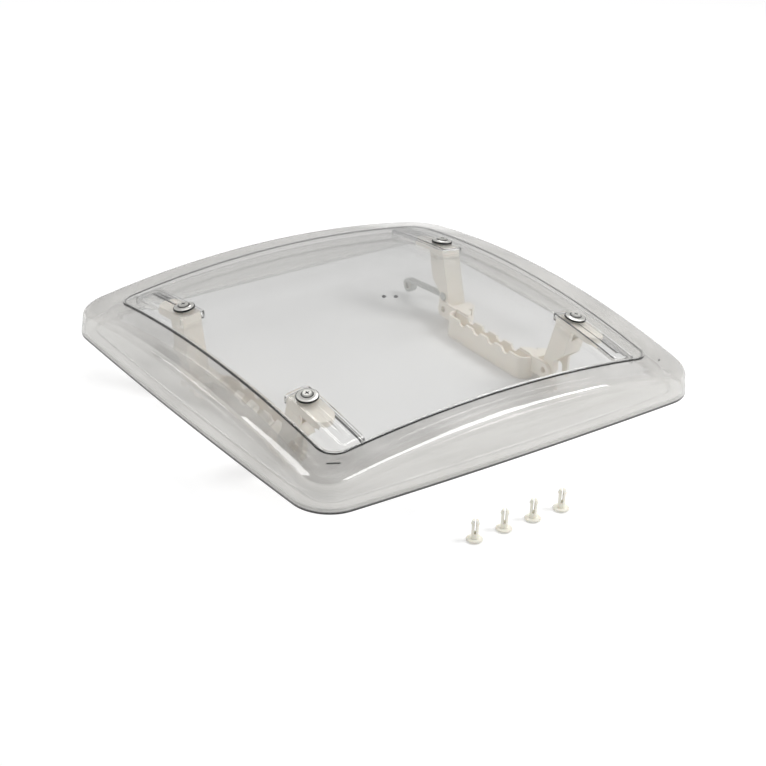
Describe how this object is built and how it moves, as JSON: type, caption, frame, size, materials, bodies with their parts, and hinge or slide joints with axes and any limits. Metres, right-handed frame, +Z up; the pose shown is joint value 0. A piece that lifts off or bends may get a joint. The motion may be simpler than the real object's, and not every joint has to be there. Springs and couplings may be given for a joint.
{
  "type": "roof light dome",
  "caption": "Square clear double-glazed roof light dome for a caravan, with brackets, notched rails, hinge arms and loose clip pins.",
  "frame": {"origin": "middle of the plane of the outer dome's rim, which closes on the roof frame", "axes": "+Z up out of the roof, +Y towards the hinge side, +X to the right when seen from the front"},
  "size_m": [0.499, 0.5597, 0.1103],
  "materials": {
    "clear_acrylic": "clear, polished",
    "bond": "clear adhesive, slightly milky",
    "ivory_plastic": "moulded, fine satin",
    "cream_plastic": "moulded, satin",
    "steel": "zinc plated, dull",
    "bright_steel": "polished stainless",
    "black_rubber": "matt",
    "brass": "machined",
    "spacer_plastic": "natural, translucent",
    "grey_plastic": "matt"
  },
  "bodies": {
    "dome": {"outer_dome": "clear_acrylic", "inner_pane": "clear_acrylic", "rim_bond": "bond", "vent_plugs": "grey_plastic", "bracket_front_left": "ivory_plastic", "screw_front_left": "bright_steel", "cup_washer_front_left": "bright_steel", "seal_washer_front_left": "black_rubber", "spacer_ring_front_left": "spacer_plastic", "threaded_insert_front_left": "brass", "bracket_front_right": "ivory_plastic", "screw_front_right": "bright_steel", "cup_washer_front_right": "bright_steel", "seal_washer_front_right": "black_rubber", "spacer_ring_front_right": "spacer_plastic", "threaded_insert_front_right": "brass", "bracket_rear_left": "ivory_plastic", "screw_rear_left": "bright_steel", "cup_washer_rear_left": "bright_steel", "seal_washer_rear_left": "black_rubber", "spacer_ring_rear_left": "spacer_plastic", "threaded_insert_rear_left": "brass", "bracket_rear_right": "ivory_plastic", "screw_rear_right": "bright_steel", "cup_washer_rear_right": "bright_steel", "seal_washer_rear_right": "black_rubber", "spacer_ring_rear_right": "spacer_plastic", "threaded_insert_rear_right": "brass", "rail_left": "ivory_plastic", "rail_right": "ivory_plastic", "arm_rivet_left": "steel", "arm_spacer_left": "spacer_plastic", "arm_rivet_right": "steel", "arm_spacer_right": "spacer_plastic", "clip_pin_1": "cream_plastic", "clip_pin_2": "cream_plastic", "clip_pin_3": "cream_plastic", "clip_pin_4": "cream_plastic"},
    "left_arm": {"hinge_arm_left": "steel", "knuckle_bush_left": "spacer_plastic"},
    "right_arm": {"hinge_arm_right": "steel", "knuckle_bush_right": "spacer_plastic"}
  },
  "joints": [
    {"name": "left_arm_swing", "type": "hinge", "parent": "dome", "child": "left_arm", "pos_m": [-0.172, 0.096, -0.0045], "axis": [1, 0, 0], "range_deg": [-60, 25]},
    {"name": "right_arm_swing", "type": "hinge", "parent": "dome", "child": "right_arm", "pos_m": [0.172, 0.096, -0.0045], "axis": [1, 0, 0], "range_deg": [-60, 25]}
  ]
}
